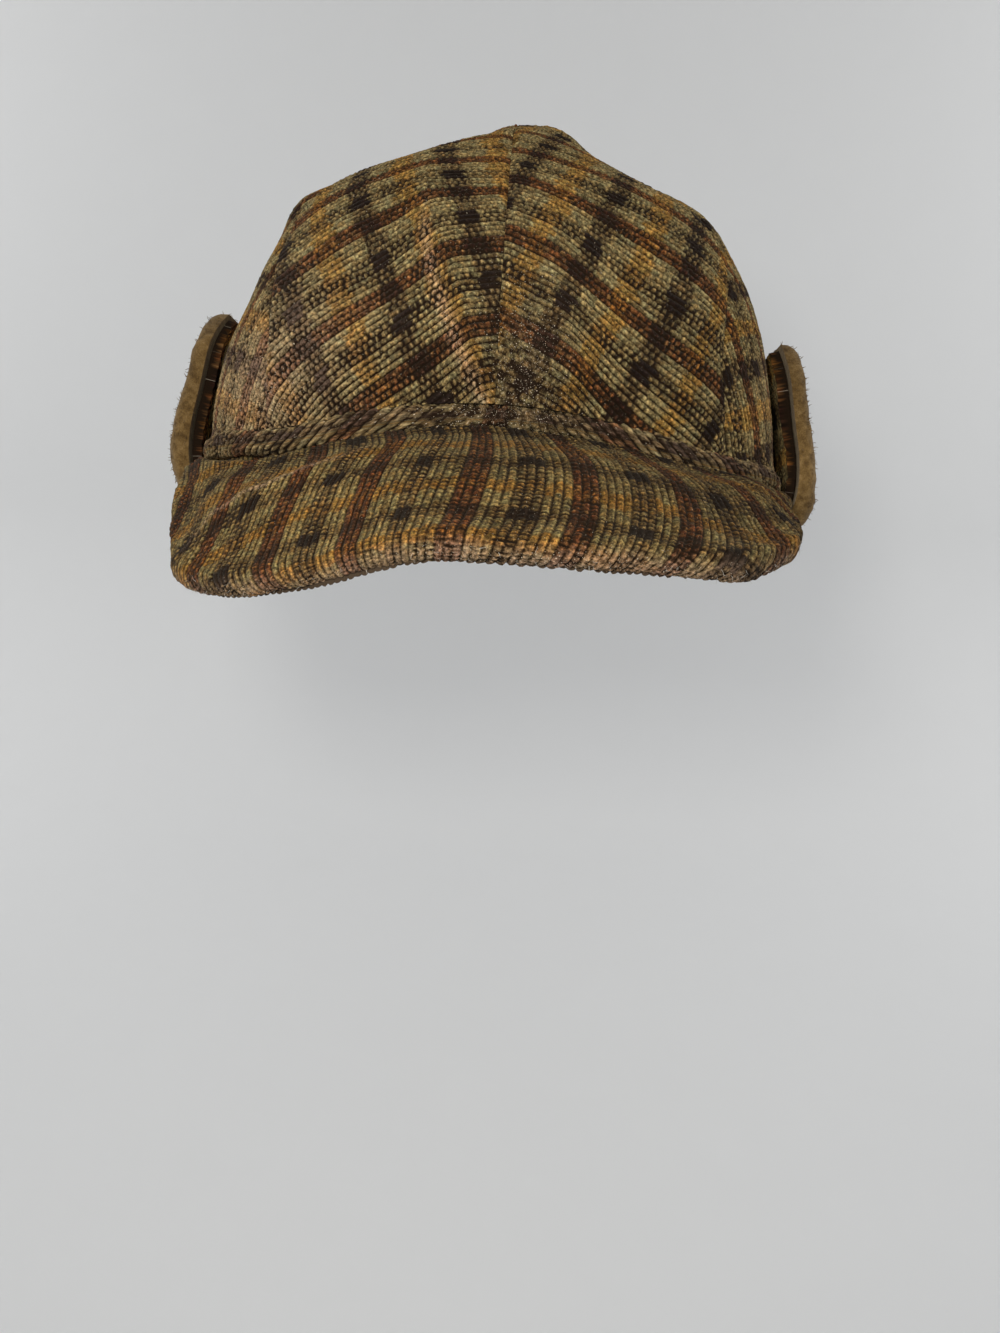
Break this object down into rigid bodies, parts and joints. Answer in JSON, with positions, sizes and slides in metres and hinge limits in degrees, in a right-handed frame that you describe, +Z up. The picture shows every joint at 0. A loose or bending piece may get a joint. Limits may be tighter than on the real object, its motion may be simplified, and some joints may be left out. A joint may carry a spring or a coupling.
{
  "type": "corduroy earflap cap",
  "caption": "Plaid corduroy cap with a gored crown, a rolled hem, a padded round-edged peak and fleece-lined ear flaps turned up.",
  "frame": {"origin": "middle of the head opening, level with the crown's rim at the two ears", "axes": "+Z up; -Y the way the peak points; +X the wearer's left"},
  "size_m": [0.2023, 0.2713, 0.1412],
  "materials": {
    "corduroy": "ribbed plaid corduroy",
    "fleece": "short tan fleece pile"
  },
  "bodies": {
    "root": {"crown_front_left": "corduroy", "crown_side_left": "corduroy", "crown_back_left": "corduroy", "crown_back_right": "corduroy", "crown_side_right": "corduroy", "crown_front_right": "corduroy", "rim_roll": "corduroy", "peak": "corduroy", "ear_flap_right_cloth": "corduroy", "ear_flap_left_cloth": "corduroy", "ear_flap_right_fleece": "fleece", "ear_flap_left_fleece": "fleece"}
  },
  "joints": []
}
